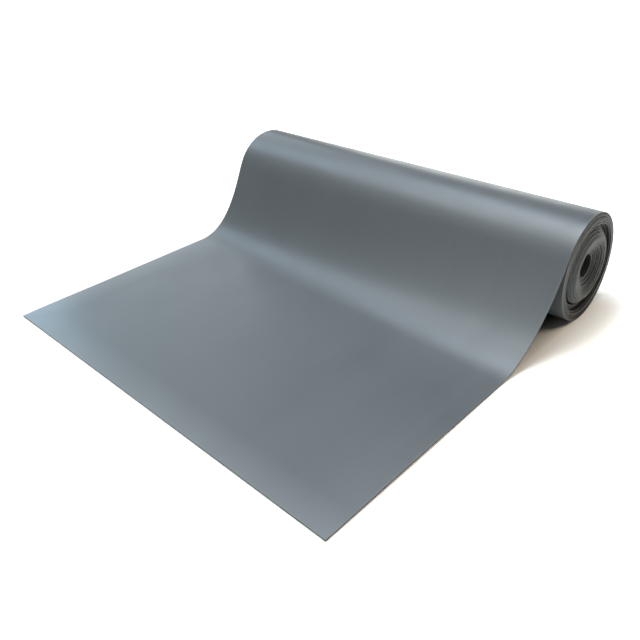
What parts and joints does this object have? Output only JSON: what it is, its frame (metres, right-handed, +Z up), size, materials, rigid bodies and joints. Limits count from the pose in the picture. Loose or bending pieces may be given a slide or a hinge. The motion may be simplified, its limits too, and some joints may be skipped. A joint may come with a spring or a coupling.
{
  "type": "anti-static bench mat roll",
  "caption": "Roll of smooth anti-static rubber sheet, partly unrolled: the sheet comes over the top, drops in an S-bend and lies flat in front of the roll.",
  "frame": {"origin": "bottom centre of the whole: mid-width and mid-length, on the bench", "axes": "+X along the roll, towards the end that the telescoped turns sink into; -Y the way the sheet is unrolled, so the roll lies at +Y; +Z up, out of the work surface"},
  "size_m": [0.7728, 0.7244, 0.1877],
  "materials": {
    "mat": "satin, smooth calendered face"
  },
  "bodies": {
    "root": {"mat": "mat"}
  },
  "joints": []
}
